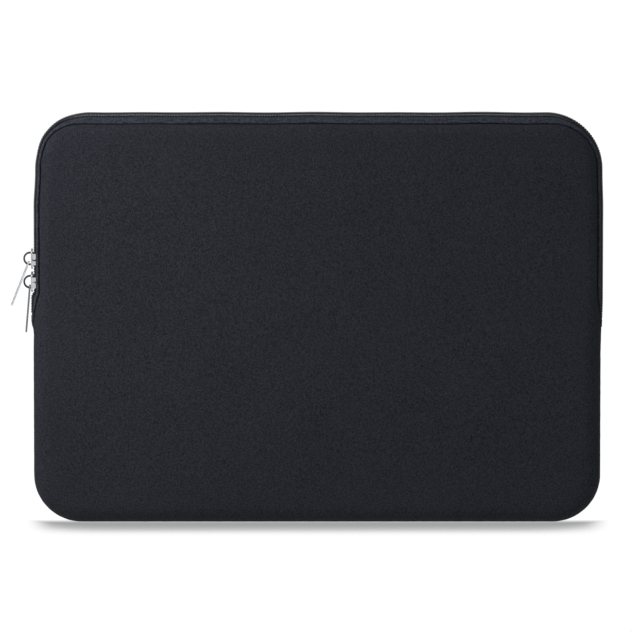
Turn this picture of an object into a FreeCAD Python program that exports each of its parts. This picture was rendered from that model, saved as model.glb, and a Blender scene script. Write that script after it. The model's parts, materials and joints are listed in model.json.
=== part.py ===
"""A padded laptop sleeve closed by a two-way coil zip round its top and the upper half of its sides.

Frame: origin at the middle of the bottom edge, +X to the right, +Y from the front panel to the back
panel, +Z up. The zip closes in the plane Y = 0. All sizes are in millimetres.
"""
import FreeCAD, Part
import os
import re
import Sketcher

PARTS_FOLDER = "parts"
SAME_PLACE = 0.01

# ---------------------------------------------------------------- driving dimensions

DIMENSIONS = {
    # the sleeve as a whole
    "sleeve_width": "350",
    "sleeve_height": "255",
    "sleeve_depth": "25",
    "half_depth": "=sleeve_depth / 2",
    "fold_height": "126",
    "fold_clearance": "0.05",
    "seam_end_height": "=fold_height - 2",
    "cut_margin": "1",
    # the padded laminate and the panels made from it
    "fabric_thickness": "0.6",
    "foam_thickness": "3.6",
    "lining_thickness": "0.8",
    "laminate_thickness": "=fabric_thickness + foam_thickness + lining_thickness",
    "panel_half_width": "=sleeve_width / 2 - 0.5",
    "panel_height": "=sleeve_height - 3",
    "panel_top_radius": "30.5",
    "panel_bottom_radius": "29.5",
    "rim_radius": "10.5",
    "panel_edge_gap": "0.2",
    # the seam between a panel and its zip tape
    "zip_seam_reach": "9",
    "zip_seam_inset": "2.67",
    "zip_window_depth": "6.5",
    "seam_half_width": "=panel_half_width - zip_seam_inset",
    "seam_height": "=panel_height - zip_seam_inset",
    "seam_radius": "=panel_top_radius - zip_seam_inset",
    "topstitch_diameter": "0.4",
    "topstitch_lift": "0.55",
    # the zip: tape, coil, filler cord and the thread that holds the coil
    "zip_start_height": "=fold_height + 1",
    "tape_thickness": "0.6",
    "tape_margin": "3.4",
    "tape_edge_reach": "1",
    "tape_bend_reach": "3",
    "coil_height": "1.7",
    "coil_width": "2.8",
    "coil_gap": "0.1",
    "coil_radius": "35",
    "stitch_diameter": "0.3",
    "near_stitch_reach": "1.64",
    "far_stitch_reach": "2.48",
    "coil_top_half": "=sleeve_width / 2 - stitch_diameter",
    "coil_top_height": "=sleeve_height - stitch_diameter",
    "coil_base_half": "=coil_top_half - coil_height",
    "coil_base_height": "=coil_top_height - coil_height",
    "cord_diameter": "0.8",
    "cord_bore": "0.9",
    # the bindings inside, the seam thread and the bar tacks
    "binding_thickness": "0.75",
    "binding_width": "2.7",
    "bottom_binding_thickness": "0.5",
    "bottom_binding_width": "4.8",
    "lay_clearance": "0.05",
    "seam_thread_diameter": "0.3",
    "seam_thread_inset": "0.45",
    "tack_bar_diameter": "0.55",
    "tack_bar_length": "4.4",
    "tack_pitch": "0.9",
    "tack_bars": "5",
    # the slider casting
    "slider_length": "11.7",
    "slider_tail_half": "3.95",
    "slider_nose_half": "5.2",
    "slider_shoulder": "0.2",
    "plate_thickness": "1.3",
    "plate_tail_radius": "2.2",
    "plate_nose_radius": "2.4",
    "plate_hollow_radius": "0.55",
    "plate_shoulder_radius": "0.65",
    "plate_edge_round": "0.4",
    "channel_height": "3.3",
    "lower_plate_thickness": "1.1",
    "flange_thickness": "0.8",
    "flange_drop": "1.7",
    "flange_end_inset": "2.4",
    "wedge_half_width": "0.6",
    "wedge_length": "3.6",
    "wedge_inset": "0.9",
    "wedge_clearance": "0.15",
    "coil_to_plate": "0.25",
    "slider_face_half": "=sleeve_width / 2 + coil_to_plate + plate_thickness",
    "upper_slider_height": "164",
    "lower_slider_height": "149.5",
    # the bridge on each slider
    "bridge_radius": "4.2",
    "bridge_thickness": "1.1",
    "bridge_half_width": "0.9",
    "bridge_lift": "0.5",
    "bridge_socket_depth": "0.6",
    "bridge_edge_round": "0.3",
    "bridge_crown_flat": "0.1",
    # the pull tab on each bridge
    "pull_reach": "31.5",
    "pull_half_width": "2.7",
    "pull_neck_reach": "9",
    "pull_neck_half_width": "1.9",
    "pull_thickness": "1.1",
    "pull_edge_round": "0.3",
    "pull_eye_radius": "0.8",
    "pull_neck_radius": "0.3",
    "pull_shoulder_radius": "0.4",
    "pull_tip_radius": "2",
    "eye_rim": "1",
    "eye_clearance": "0.15",
    "recess_margin": "0.9",
    "recess_depth": "0.15",
    "recess_neck_radius": "0.5",
    "recess_tip_radius": "1.1",
    "upper_pull_tilt": "21.5",
    "lower_pull_tilt": "4.7",
}

document = FreeCAD.newDocument("LaptopSleeve")
sizes = document.addObject("Spreadsheet::Sheet", "Sizes")
for row, (alias, value) in enumerate(DIMENSIONS.items(), start=1):
    sizes.set(f"A{row}", alias)
    sizes.set(f"B{row}", value)
    sizes.setAlias(f"B{row}", alias)
document.recompute()

nodes = {}


def linked(expression):
    """The expression with each alias written as a reference to the sheet."""
    return re.sub(r"[a-z_]+", lambda word: f"Sizes.{word[0]}" if word[0] in DIMENSIONS else word[0],
                  expression)


def size(expression):
    """The number that an expression of the sheet's aliases stands for."""
    return float(sizes.evalExpression(linked(expression)))


# ---------------------------------------------------------------- bodies and sketches

def new_body(name, several_solids=False):
    """An empty body that becomes the node of this name."""
    body = document.addObject("PartDesign::Body", name)
    body.Label = name
    body.AllowCompound = several_solids
    nodes[name] = body
    return body


def new_sketch(body, name, role="XZ_Plane", offset=None):
    """A sketch on one of the body's origin planes, moved along the plane's normal."""
    sketch = body.newObject("Sketcher::SketchObject", f"{body.Name}_{name}")
    plane = next(plane for plane in body.Origin.OriginFeatures if plane.Role == role)
    sketch.AttachmentSupport = (plane, [""])
    sketch.MapMode = "FlatFace"
    if offset:
        sketch.setExpression("AttachmentOffset.Base.z", linked(offset))
    return sketch


def drive(sketch, kind, where, expression):
    """Add one driving dimension, bound to the sheet. Where names the geometry it measures."""
    sketch.addConstraint(Sketcher.Constraint(kind, *where, size(expression)))
    index = sketch.ConstraintCount - 1
    name = f"{kind.lower()}_{index}"
    sketch.renameConstraint(index, name)
    sketch.setExpression(f"Constraints.{name}", linked(expression))


def drive_from_origin(sketch, kind, place, expression):
    """Hold a point at a signed distance from the sketch's origin, measured across or up."""
    value = size(expression)
    origin, vertical_axis, horizontal_axis = (-1, 1), -2, -1
    if value == 0:
        axis = vertical_axis if kind == "DistanceX" else horizontal_axis
        sketch.addConstraint(Sketcher.Constraint("PointOnObject", *place, axis))
    elif value > 0:
        drive(sketch, kind, (*origin, *place), expression)
    else:
        drive(sketch, kind, (*place, *origin), f"-({expression})")


def draw_outline(sketch, corners, closed=True):
    """Draw a chain of level and upright lines, with an arc at each corner that has a radius.

    Each corner is (across, up) or (across, up, radius), and all three are expressions.
    """
    places = [FreeCAD.Vector(size(corner[0]), size(corner[1]), 0) for corner in corners]
    radii = [corner[2] if len(corner) == 3 else None for corner in corners]
    count = len(corners)
    runs = count if closed else count - 1
    headings = [(places[(i + 1) % count] - places[i]).normalize() for i in range(runs)]

    lines = []
    for i in range(runs):
        after = (i + 1) % count
        start = places[i] + headings[i] * (size(radii[i]) if radii[i] else 0)
        end = places[after] - headings[i] * (size(radii[after]) if radii[after] else 0)
        lines.append(sketch.addGeometry(Part.LineSegment(start, end)))
        level = abs(headings[i].x) > abs(headings[i].y)
        sketch.addConstraint(Sketcher.Constraint("Horizontal" if level else "Vertical", lines[i]))
        if level:
            drive_from_origin(sketch, "DistanceY", (lines[i], 1), corners[i][1])
        else:
            drive_from_origin(sketch, "DistanceX", (lines[i], 1), corners[i][0])

    for i in range(count if closed else count - 1):
        if not closed and i == 0:
            continue
        before, line = lines[i - 1], lines[i]
        if radii[i] is None:
            sketch.addConstraint(Sketcher.Constraint("Coincident", before, 2, line, 1))
            continue
        radius = size(radii[i])
        heading_in, heading_out = headings[i - 1], headings[i]
        start = places[i] - heading_in * radius
        end = places[i] + heading_out * radius
        centre = start + heading_out * radius
        middle = centre + (places[i] - centre).normalize() * radius
        arc = sketch.addGeometry(Part.Arc(start, middle, end))
        turns_left = heading_in.cross(heading_out).z > 0
        arc_in, arc_out = (1, 2) if turns_left else (2, 1)
        sketch.addConstraint(Sketcher.Constraint("Tangent", before, 2, arc, arc_in))
        sketch.addConstraint(Sketcher.Constraint("Tangent", arc, arc_out, line, 1))
        drive(sketch, "Radius", (arc,), radii[i])

    if not closed:
        first, last = corners[0], corners[-1]
        first_kind, first_value = ("DistanceX", first[0]) if abs(headings[0].x) > 0.5 else (
            "DistanceY", first[1])
        last_kind, last_value = ("DistanceX", last[0]) if abs(headings[-1].x) > 0.5 else (
            "DistanceY", last[1])
        drive_from_origin(sketch, first_kind, (lines[0], 1), first_value)
        drive_from_origin(sketch, last_kind, (lines[-1], 2), last_value)


def draw_circle(sketch, across, up, diameter):
    """Draw a circle at a place from the sketch's origin."""
    place = FreeCAD.Vector(size(across), size(up), 0)
    circle = Part.Circle(place, FreeCAD.Vector(0, 0, 1), size(diameter) / 2)
    index = sketch.addGeometry(circle)
    drive_from_origin(sketch, "DistanceX", (index, 3), across)
    drive_from_origin(sketch, "DistanceY", (index, 3), up)
    drive(sketch, "Diameter", (index,), diameter)


# Outlines round the sleeve, seen from the front. A half width, a top height and a corner radius
# place each one.

def rounded_rectangle(inset):
    """The panel's outline, moved inward by an inset."""
    half, low, high = f"panel_half_width - ({inset})", inset, f"panel_height - ({inset})"
    top_radius, bottom_radius = f"panel_top_radius - ({inset})", f"panel_bottom_radius - ({inset})"
    return [(f"-({half})", low, bottom_radius), (half, low, bottom_radius),
            (half, high, top_radius), (f"-({half})", high, top_radius)]


def arch(half, high, radius, low):
    """The closed outline of everything under an arch, down to a level bottom."""
    return [(f"-({half})", low), (half, low), (half, high, radius), (f"-({half})", high, radius)]


def arch_path(half, high, radius, low):
    """The open line up one side, over the top and down the other side."""
    return [(half, low), (half, high, radius), (f"-({half})", high, radius), (f"-({half})", low)]


def arch_band(half, high, radius, low, band):
    """The outline of a band of even width that follows an arch on its inner side."""
    inner_half, inner_high = f"{half} - ({band})", f"{high} - ({band})"
    inner_radius = f"{radius} - ({band})"
    return [(half, low), (half, high, radius), (f"-({half})", high, radius), (f"-({half})", low),
            (f"-({inner_half})", low), (f"-({inner_half})", inner_high, inner_radius),
            (inner_half, inner_high, inner_radius), (inner_half, low)]


def trough_path(inset, high):
    """The open line down one side of the panel, along its bottom and up the other side."""
    half, radius = f"panel_half_width - ({inset})", f"panel_bottom_radius - ({inset})"
    return [(half, high), (half, inset, radius), (f"-({half})", inset, radius), (f"-({half})", high)]


def trough_band(inset, high, band):
    """The outline of a band that follows the panel's sides and bottom on their inner side."""
    outer = trough_path(inset, high)
    inner = trough_path(f"{inset} + {band}", high)
    return outer + inner[::-1]


def rectangle(left, right, low, high):
    """The outline of an upright rectangle."""
    return [(left, low), (right, low), (right, high), (left, high)]


# ---------------------------------------------------------------- features

def pad(body, sketch, length, backward=False, both_ways=False):
    """Push a sketch along its normal, against it, or half the length each way."""
    feature = body.newObject("PartDesign::Pad", f"{sketch.Name}_pad")
    feature.Profile = (sketch, [""])
    feature.setExpression("Length", linked(length))
    feature.Reversed = backward
    feature.Midplane = both_ways
    return feature


def pocket(body, sketch, depth, along_normal=True):
    """Cut a sketch's shape out of the body, and make sure that it did cut."""
    document.recompute()
    before = body.Shape.Volume
    feature = body.newObject("PartDesign::Pocket", f"{sketch.Name}_pocket")
    feature.Profile = (sketch, [""])
    feature.setExpression("Length", linked(depth))
    feature.Reversed = along_normal
    document.recompute()
    if body.Shape.Volume >= before:
        raise RuntimeError(f"{feature.Name} cuts nothing")
    return feature


def loft(body, kind, sketches):
    """A ruled loft through sketches: AdditiveLoft or SubtractiveLoft."""
    feature = body.newObject(f"PartDesign::{kind}", f"{sketches[0].Name}_loft")
    feature.Profile = (sketches[0], [""])
    feature.Sections = [(sketch, [""]) for sketch in sketches[1:]]
    feature.Ruled = True
    return feature


def pipe(body, section, path):
    """Sweep a section along a path."""
    feature = body.newObject("PartDesign::AdditivePipe", f"{section.Name}_pipe")
    feature.AllowMultiFace = True
    feature.Profile = (section, [""])
    feature.Spine = (path, [""])
    return feature


def round_edges(body, chosen, radius):
    """Round the edges of the body's last feature that a test picks out."""
    document.recompute()
    base = body.Tip
    edges = [f"Edge{i}" for i, edge in enumerate(base.Shape.Edges, start=1) if chosen(edge)]
    feature = body.newObject("PartDesign::Fillet", f"{base.Name}_round")
    feature.Base = (base, edges)
    feature.setExpression("Radius", linked(radius))
    return feature


def hollow_out(body, open_at, wall):
    """Hollow the body's last feature to an even wall, open at the faces that a test picks out."""
    document.recompute()
    base = body.Tip
    faces = [f"Face{i}" for i, face in enumerate(base.Shape.Faces, start=1) if open_at(face)]
    feature = body.newObject("PartDesign::Thickness", f"{base.Name}_hollow")
    feature.Base = (base, faces)
    feature.setExpression("Value", linked(wall))
    feature.Reversed = True
    return feature


def lies_at(shape, axis, distance):
    """Whether a whole edge or face lies in the plane at a distance along an axis."""
    box = shape.BoundBox
    low, high = getattr(box, f"{axis}Min"), getattr(box, f"{axis}Max")
    return max(abs(low - distance), abs(high - distance)) < SAME_PLACE


def lay_on(body, side):
    """Leave a body in front, or turn it about the upright axis to lie at the back."""
    if side == "back":
        body.Placement = FreeCAD.Placement(FreeCAD.Vector(), FreeCAD.Rotation(FreeCAD.Vector(0, 0, 1), 180))


# ---------------------------------------------------------------- the padded panels

# how far each layer lies inside the panel's outer surface, and how thick it is
LAYERS = {
    "outer_fabric": ("0", "fabric_thickness"),
    "foam": ("fabric_thickness", "foam_thickness"),
    "lining": ("fabric_thickness + foam_thickness", "lining_thickness"),
}


def cut_zip_window(body):
    """Take the rim away where the zip tape takes its place."""
    sketch = new_sketch(body, "zip_window")
    draw_outline(sketch, arch_band("panel_half_width + cut_margin", "panel_height + cut_margin",
                                   "panel_top_radius + cut_margin", "fold_height",
                                   "zip_window_depth + cut_margin"))
    pocket(body, sketch, "zip_seam_reach")


def keep_one_side_of_fold(body, keep):
    """Cut a front layer at the fold line, and keep the flap above it or the pocket below it."""
    sketch = new_sketch(body, "fold")
    if keep == "flap":
        low, high = "-cut_margin", "fold_height + fold_clearance"
    else:
        low, high = "fold_height - fold_clearance", "sleeve_height"
    draw_outline(sketch, rectangle("-sleeve_width", "sleeve_width", low, high))
    pocket(body, sketch, "sleeve_depth")


def panel_layer(name, inset, thickness, side, keep="whole"):
    """One layer of a panel: a shallow tray with a rounded rim, open towards the middle plane."""
    body = new_body(name)
    outer = new_sketch(body, "outer", offset="panel_edge_gap")
    draw_outline(outer, rounded_rectangle(inset))
    pad(body, outer, f"half_depth - panel_edge_gap - ({inset})")
    face = -size(f"half_depth - ({inset})")
    round_edges(body, lambda edge: lies_at(edge, "Y", face), f"rim_radius - ({inset})")

    hollow_out(body, lambda face: lies_at(face, "Y", -size("panel_edge_gap")), thickness)

    if keep != "pocket":
        cut_zip_window(body)
    if keep != "whole":
        keep_one_side_of_fold(body, keep)
    lay_on(body, side)


def panels():
    for layer, (inset, thickness) in LAYERS.items():
        panel_layer(f"front_pocket_{layer}", inset, thickness, "front", keep="pocket")
        panel_layer(f"front_flap_{layer}", inset, thickness, "front", keep="flap")
        panel_layer(f"back_{layer}", inset, thickness, "back")


# ---------------------------------------------------------------- the zip

def zip_tape(side):
    """The woven tape: from the seam it slopes up to the coil, and its margin lies behind the panel."""
    body = new_body(f"{side}_zip_tape")

    def section(name, reach, inset, seam, low):
        sketch = new_sketch(body, name, offset=reach)
        if seam:
            half, high, radius = "seam_half_width", "seam_height", "seam_radius"
        else:
            half, high, radius = "coil_base_half", "coil_base_height", "coil_radius - coil_height"
        draw_outline(sketch, arch(f"{half} - {inset}", f"{high} - {inset}", f"{radius} - {inset}", low))
        return sketch

    outside = [section("seam_outside", "zip_seam_reach", "0", True, "zip_start_height"),
               section("bend_outside", "tape_bend_reach", "0", False, "zip_start_height"),
               section("edge_outside", "tape_edge_reach", "0", False, "zip_start_height")]
    loft(body, "AdditiveLoft", outside)
    inside = [section("seam_inside", "zip_seam_reach", "tape_thickness", True, "fold_height"),
              section("bend_inside", "tape_bend_reach", "tape_thickness", False, "fold_height"),
              section("edge_inside", "tape_edge_reach", "tape_thickness", False, "fold_height")]
    loft(body, "SubtractiveLoft", inside)
    margin = new_sketch(body, "margin", offset="zip_seam_reach")
    draw_outline(margin, arch_band("seam_half_width", "seam_height", "seam_radius", "zip_start_height",
                                   "tape_margin"))
    pad(body, margin, "tape_thickness", backward=True)
    lay_on(body, side)


def swept_over_arch(name, side, reach, half, high, radius, draw_section, several_solids=False):
    """A body swept up one side, over the top and down the other, at a reach from the middle plane."""
    body = new_body(name, several_solids)
    path = new_sketch(body, "path", offset=reach)
    draw_outline(path, arch_path(half, high, radius, "zip_start_height"), closed=False)
    section = new_sketch(body, "section", role="XY_Plane", offset="zip_start_height")
    draw_section(section)
    pipe(body, section, path)
    lay_on(body, side)
    return body


def clear_slider_wedges(body, side):
    """Part the coil where the two sliders' wedges stand in it, on the sleeve's left side."""
    toward_left = "-" if side == "front" else ""
    near = f"{toward_left}(coil_base_half - cut_margin)"
    far = f"{toward_left}(coil_top_half + cut_margin)"
    left, right = (far, near) if side == "front" else (near, far)
    sketch = new_sketch(body, "wedge_room")
    nose = "slider_length / 2 - wedge_inset - wedge_length - cut_margin"
    draw_outline(sketch, rectangle(left, right, f"lower_slider_height + {nose}",
                                   f"upper_slider_height - ({nose})"))
    pocket(body, sketch, "wedge_half_width + wedge_clearance")


def zip_coil(side):
    """The wound coil as an even strip, bored along its length for the filler cord."""
    middle_reach = "coil_gap + coil_width / 2"
    middle_half = "coil_base_half + coil_height / 2"

    def draw_section(sketch):
        draw_outline(sketch, rectangle("coil_base_half", "coil_top_half",
                                       "-(coil_gap + coil_width)", "-coil_gap"))
        draw_circle(sketch, middle_half, f"-({middle_reach})", "cord_bore")

    body = swept_over_arch(f"{side}_zip_coil", side, middle_reach, middle_half,
                           "coil_base_height + coil_height / 2", "coil_radius - coil_height / 2",
                           draw_section)
    clear_slider_wedges(body, side)


def coil_cord(side):
    """The filler cord that the coil is wound on."""
    reach = "coil_gap + coil_width / 2"
    half = "coil_base_half + coil_height / 2"

    def draw_section(sketch):
        draw_circle(sketch, half, f"-({reach})", "cord_diameter")

    swept_over_arch(f"{side}_coil_cord", side, reach, half, "coil_base_height + coil_height / 2",
                    "coil_radius - coil_height / 2", draw_section)


def coil_stitching(side):
    """Two rows of thread along the top of the coil that sew it to the tape."""
    half = "coil_top_half + stitch_diameter / 2"
    rows = ["near_stitch_reach", "far_stitch_reach"]

    def draw_section(sketch):
        for reach in rows:
            draw_circle(sketch, half, f"-({reach})", "stitch_diameter")

    swept_over_arch(f"{side}_coil_stitching", side, rows[0], half, "coil_top_height + stitch_diameter / 2",
                    "coil_radius + stitch_diameter / 2", draw_section, several_solids=True)


def zip_topstitching(side):
    """The thread that lies in the groove between a panel's rim and its tape."""
    reach = "zip_seam_reach - topstitch_diameter / 2 - lay_clearance"
    half = "seam_half_width + topstitch_lift"

    def draw_section(sketch):
        draw_circle(sketch, half, f"-({reach})", "topstitch_diameter")

    swept_over_arch(f"{side}_zip_topstitching", side, reach, half, "seam_height + topstitch_lift",
                    "seam_radius + topstitch_lift", draw_section)


def zip_seam_binding(side):
    """The binding tape that covers the tape's margin inside the sleeve."""
    body = new_body(f"{side}_zip_seam_binding")
    sketch = new_sketch(body, "band", offset="zip_seam_reach - tape_thickness - lay_clearance")
    inset = "tape_thickness - 2 * lay_clearance"
    draw_outline(sketch, arch_band(f"seam_half_width - {inset}", f"seam_height - {inset}",
                                   f"seam_radius - {inset}", "zip_start_height", "binding_width"))
    pad(body, sketch, "binding_thickness", backward=True)
    lay_on(body, side)


def zips():
    for side in ("front", "back"):
        zip_tape(side)
        zip_coil(side)
        coil_cord(side)
        coil_stitching(side)
        zip_topstitching(side)
        zip_seam_binding(side)


# ---------------------------------------------------------------- the side and bottom seam

def bottom_seam_binding():
    """The binding tape laid over the side and bottom seam inside the sleeve."""
    body = new_body("bottom_seam_binding")
    sketch = new_sketch(body, "band")
    draw_outline(sketch, trough_band("laminate_thickness + lay_clearance", "seam_end_height",
                                     "bottom_binding_thickness"))
    pad(body, sketch, "bottom_binding_width", both_ways=True)


def side_and_bottom_seam_thread():
    """The thread that joins the two panels, deep in the seam between them."""
    body = new_body("side_and_bottom_seam_thread")
    path = new_sketch(body, "path")
    draw_outline(path, trough_path("seam_thread_inset", "seam_end_height"), closed=False)
    section = new_sketch(body, "section", role="XY_Plane", offset="seam_end_height")
    draw_circle(section, "panel_half_width - seam_thread_inset", "0", "seam_thread_diameter")
    pipe(body, section, path)


def zip_end_tack(name, sign):
    """A row of short bars of thread across the seam, just below one end of the zip."""
    body = new_body(name, several_solids=True)
    sketch = new_sketch(body, "bars")
    across = f"{sign}(panel_half_width + tack_bar_diameter / 2 + lay_clearance)"
    for bar in range(int(size("tack_bars"))):
        draw_circle(sketch, across, f"fold_height - tack_pitch * ({bar} + 0.5)", "tack_bar_diameter")
    bars = pad(body, sketch, "tack_bar_length", both_ways=True)
    bars.AllowMultiFace = True


# ---------------------------------------------------------------- the sliders and their pulls

# A slider lies on the sleeve's left side. In its own frame +X points along the zip to its nose,
# where the coils part, +Z points out of the sleeve, and Z = 0 is the outer face of its top plate.

def slider_place(height, nose):
    """The placement of a slider whose nose points up or down."""
    outward = FreeCAD.Vector(-1, 0, 0)
    forward = FreeCAD.Vector(0, 0, 1 if nose == "up" else -1)
    rotation = FreeCAD.Rotation(forward, outward.cross(forward), outward, "ZXY")
    return FreeCAD.Placement(FreeCAD.Vector(-size("slider_face_half"), 0, size(height)), rotation)


def plate_outline():
    """A plate seen from outside: a narrow tail, a shoulder on each side and a wide nose."""
    one_side = [("-slider_length / 2", "slider_tail_half", "plate_tail_radius"),
                ("slider_shoulder", "slider_tail_half", "plate_hollow_radius"),
                ("slider_shoulder", "slider_nose_half", "plate_shoulder_radius"),
                ("slider_length / 2", "slider_nose_half", "plate_nose_radius")]
    other_side = [(along, f"-{across}", radius) for along, across, radius in one_side]
    return other_side + one_side[::-1]


def flange_outlines():
    """The four strips under the top plate's edges that keep the coils in: two at the tail, two wider
    apart at the nose."""
    stretches = [("slider_tail_half", "flange_end_inset - slider_length / 2", "slider_shoulder"),
                 ("slider_nose_half", "slider_shoulder + plate_shoulder_radius",
                  "slider_length / 2 - flange_end_inset")]
    outlines = []
    for half, start, end in stretches:
        inner = f"{half} - flange_thickness"
        outlines.append(rectangle(start, end, inner, half))
        outlines.append(rectangle(start, end, f"-{half}", f"-({inner})"))
    return outlines


def slider_body(name, height, nose):
    """The casting: a top plate with two flanges, a bottom plate, and a wedge that joins them."""
    body = new_body(name)
    top_plate = new_sketch(body, "top_plate", role="XY_Plane")
    draw_outline(top_plate, plate_outline())
    pad(body, top_plate, "plate_thickness", backward=True)

    wedge = new_sketch(body, "wedge", role="XY_Plane", offset="-plate_thickness")
    draw_outline(wedge, rectangle("slider_length / 2 - wedge_inset - wedge_length",
                                  "slider_length / 2 - wedge_inset",
                                  "-wedge_half_width", "wedge_half_width"))
    pad(body, wedge, "channel_height", backward=True)

    flanges = new_sketch(body, "flanges", role="XY_Plane", offset="-plate_thickness")
    for outline in flange_outlines():
        draw_outline(flanges, outline)
    pad(body, flanges, "flange_drop", backward=True)

    bottom_plate = new_sketch(body, "bottom_plate", role="XY_Plane",
                              offset="-plate_thickness - channel_height")
    draw_outline(bottom_plate, plate_outline())
    pad(body, bottom_plate, "lower_plate_thickness", backward=True)

    bottom = -size("plate_thickness + channel_height + lower_plate_thickness")
    round_edges(body, lambda edge: lies_at(edge, "Z", 0) or lies_at(edge, "Z", bottom),
                "plate_edge_round")
    sockets = new_sketch(body, "sockets", role="XY_Plane")
    for start, end in (("-bridge_radius", "-(bridge_radius - bridge_thickness)"),
                       ("bridge_radius - bridge_thickness", "bridge_radius")):
        draw_outline(sockets, rectangle(start, end, "-bridge_half_width", "bridge_half_width"))
    pocket(body, sockets, "bridge_socket_depth", along_normal=False)
    body.Placement = slider_place(height, nose)


def slider_bridge(name, height, nose):
    """The strap that arches over the slider and holds the pull."""
    body = new_body(name)
    sketch = new_sketch(body, "profile")
    foot, top = "-bridge_socket_depth", "bridge_lift + bridge_radius"
    inner, inner_top = "(bridge_radius - bridge_thickness)", "bridge_lift + bridge_radius - bridge_thickness"
    outer_curve, inner_curve = "bridge_radius - bridge_crown_flat", f"{inner} - bridge_crown_flat"
    draw_outline(sketch, [("bridge_radius", foot), ("bridge_radius", top, outer_curve),
                          ("-bridge_radius", top, outer_curve), ("-bridge_radius", foot),
                          (f"-{inner}", foot), (f"-{inner}", inner_top, inner_curve),
                          (inner, inner_top, inner_curve), (inner, foot)])
    pad(body, sketch, "2 * bridge_half_width", both_ways=True)
    side = size("bridge_half_width")
    round_edges(body, lambda edge: lies_at(edge, "Y", side) or lies_at(edge, "Y", -side),
                "bridge_edge_round")
    body.Placement = slider_place(height, nose)


def pull_tab(name, height, tilt):
    """The flat tab that hangs from a bridge. Its own frame has the bridge's centre as its origin."""
    body = new_body(name)
    start = "bridge_radius - bridge_thickness - eye_clearance - eye_rim"
    tab, neck = "pull_half_width", "pull_neck_half_width"
    outline = new_sketch(body, "outline", role="XY_Plane")
    one_side = [(start, neck, "pull_eye_radius"), ("pull_neck_reach", neck, "pull_neck_radius"),
                ("pull_neck_reach", tab, "pull_shoulder_radius"), ("pull_reach", tab, "pull_tip_radius")]
    other_side = [(along, f"-{across}", radius) for along, across, radius in one_side]
    draw_outline(outline, other_side + one_side[::-1])
    pad(body, outline, "pull_thickness", both_ways=True)
    half = size("pull_thickness / 2")
    round_edges(body, lambda edge: lies_at(edge, "Z", half) or lies_at(edge, "Z", -half),
                "pull_edge_round")

    eye = new_sketch(body, "eye", role="XY_Plane", offset="pull_thickness / 2")
    hole = "bridge_half_width + eye_clearance"
    draw_outline(eye, rectangle("bridge_radius - bridge_thickness - eye_clearance",
                                "bridge_radius + eye_clearance", f"-({hole})", hole))
    pocket(body, eye, "pull_thickness", along_normal=False)

    for face, offset, along_normal in (("front", "pull_thickness / 2", False),
                                       ("rear", "-pull_thickness / 2", True)):
        recess = new_sketch(body, f"{face}_recess", role="XY_Plane", offset=offset)
        inner = f"{tab} - recess_margin"
        left, right = "pull_neck_reach + recess_margin", "pull_reach - recess_margin"
        draw_outline(recess, [(left, f"-({inner})", "recess_neck_radius"),
                              (right, f"-({inner})", "recess_tip_radius"),
                              (right, inner, "recess_tip_radius"), (left, inner, "recess_neck_radius")])
        pocket(body, recess, "recess_depth", along_normal=along_normal)

    down = FreeCAD.Rotation(FreeCAD.Vector(0, 1, 0), 90 + size(tilt))
    pivot = FreeCAD.Vector(-size("slider_face_half + bridge_lift"), 0, size(height))
    body.Placement = FreeCAD.Placement(pivot, down)


def sliders():
    for label, nose in (("upper", "down"), ("lower", "up")):
        height = f"{label}_slider_height"
        slider_body(f"{label}_slider_body", height, nose)
        slider_bridge(f"{label}_slider_bridge", height, nose)
        pull_tab(f"{label}_pull_tab", height, f"{label}_pull_tilt")


# ---------------------------------------------------------------- build, check and write

panels()
zips()
bottom_seam_binding()
side_and_bottom_seam_thread()
zip_end_tack("left_zip_end_tack", "-")
zip_end_tack("right_zip_end_tack", "")
sliders()
document.recompute()

for item in document.Objects:
    if "Invalid" in item.State or "Error" in item.State:
        raise RuntimeError(f"{item.Label} is not built: {item.State}")
for label, body in nodes.items():
    if body.Shape.isNull() or not body.Shape.isValid() or not body.Shape.Solids:
        raise RuntimeError(f"{label} has no sound solid")

os.makedirs(PARTS_FOLDER, exist_ok=True)
for label, body in nodes.items():
    body.Shape.exportStep(f"{PARTS_FOLDER}/{label}.step")
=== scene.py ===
"""Looks for the laptop sleeve: padded panels, a wound-coil zip, stitching, bindings and metal sliders.

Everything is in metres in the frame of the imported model: +X right, +Y from the front panel to the
back panel, +Z up. The zip closes in the plane Y = 0.
"""
import json
import math

import bpy
import numpy as np
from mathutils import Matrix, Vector


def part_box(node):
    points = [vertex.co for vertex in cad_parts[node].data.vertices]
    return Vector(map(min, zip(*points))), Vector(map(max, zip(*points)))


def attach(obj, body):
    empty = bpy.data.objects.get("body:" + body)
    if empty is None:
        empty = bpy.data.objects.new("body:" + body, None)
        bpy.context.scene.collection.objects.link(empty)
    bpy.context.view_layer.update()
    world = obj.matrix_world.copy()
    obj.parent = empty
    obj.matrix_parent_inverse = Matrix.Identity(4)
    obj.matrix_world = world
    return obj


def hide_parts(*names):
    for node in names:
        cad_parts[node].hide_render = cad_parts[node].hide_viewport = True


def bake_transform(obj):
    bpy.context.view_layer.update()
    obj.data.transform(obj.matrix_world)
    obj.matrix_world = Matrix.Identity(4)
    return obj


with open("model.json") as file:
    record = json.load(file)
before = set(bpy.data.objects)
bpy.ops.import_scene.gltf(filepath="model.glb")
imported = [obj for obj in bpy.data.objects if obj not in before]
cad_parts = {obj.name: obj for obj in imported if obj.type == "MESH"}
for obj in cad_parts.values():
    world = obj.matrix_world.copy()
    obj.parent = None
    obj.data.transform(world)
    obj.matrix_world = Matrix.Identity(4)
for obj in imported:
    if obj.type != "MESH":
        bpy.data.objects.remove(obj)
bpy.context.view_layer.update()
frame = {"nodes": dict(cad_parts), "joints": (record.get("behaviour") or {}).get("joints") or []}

MM = 0.001
FIXED, FLAP = "pocket", "flap"

# ---------------------------------------------------------------- sizes taken from the frame


def low_of(node):
    return Vector(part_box(node)[0])


def high_of(node):
    return Vector(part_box(node)[1])


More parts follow.
